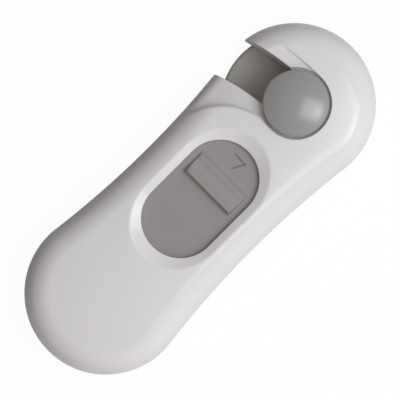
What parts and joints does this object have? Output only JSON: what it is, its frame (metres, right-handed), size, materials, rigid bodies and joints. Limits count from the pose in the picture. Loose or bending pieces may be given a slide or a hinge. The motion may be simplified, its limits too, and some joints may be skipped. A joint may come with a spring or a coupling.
{
  "type": "cabinet safety lock",
  "caption": "Swing-arm child safety lock: a domed white arm pivots on one stick-on base and hooks a round-headed post on another, locked by a thumb slide",
  "frame": {"origin": "on the pivot axis, in the plane that both adhesive pads stick to", "axes": "+Y from the pivot to the catch post, +Z away from the furniture, +X to the closed side of the hook"},
  "size_m": [0.044, 0.116, 0.0227],
  "materials": {
    "white_plastic": "satin injection-moulded white",
    "slide_plastic": "matte moulded mid grey",
    "knob_plastic": "satin moulded mid grey",
    "grey_plastic": "fine matte moulded grey",
    "natural_plastic": "smooth low-friction ring",
    "foam": "double-sided foam tape",
    "steel": "zinc-plated",
    "spring_steel": "bright strip"
  },
  "bodies": {
    "bases": {"pivot_pad": "foam", "pivot_base": "grey_plastic", "glide_ring": "natural_plastic", "retaining_washer": "steel", "pivot_screw": "steel", "catch_pad": "foam", "catch_base": "grey_plastic", "catch_knob": "knob_plastic", "knob_screw": "steel"},
    "arm": {"lower_shell": "white_plastic", "upper_shell": "white_plastic", "shell_screws": "steel", "detent_spring": "spring_steel"},
    "slide": {"thumb_slide": "slide_plastic", "lock_plate": "slide_plastic", "lock_screws": "steel"}
  },
  "joints": [
    {"name": "arm_swing", "type": "hinge", "parent": "bases", "child": "arm", "pos_m": [0, 0, 0], "axis": [0, 0, 1], "range_deg": [-180, 0]},
    {"name": "lock_slide", "type": "slide", "parent": "arm", "child": "slide", "axis": [0, 1, 0], "range_m": [-0.006, 0], "deforming": ["detent_spring"]}
  ]
}
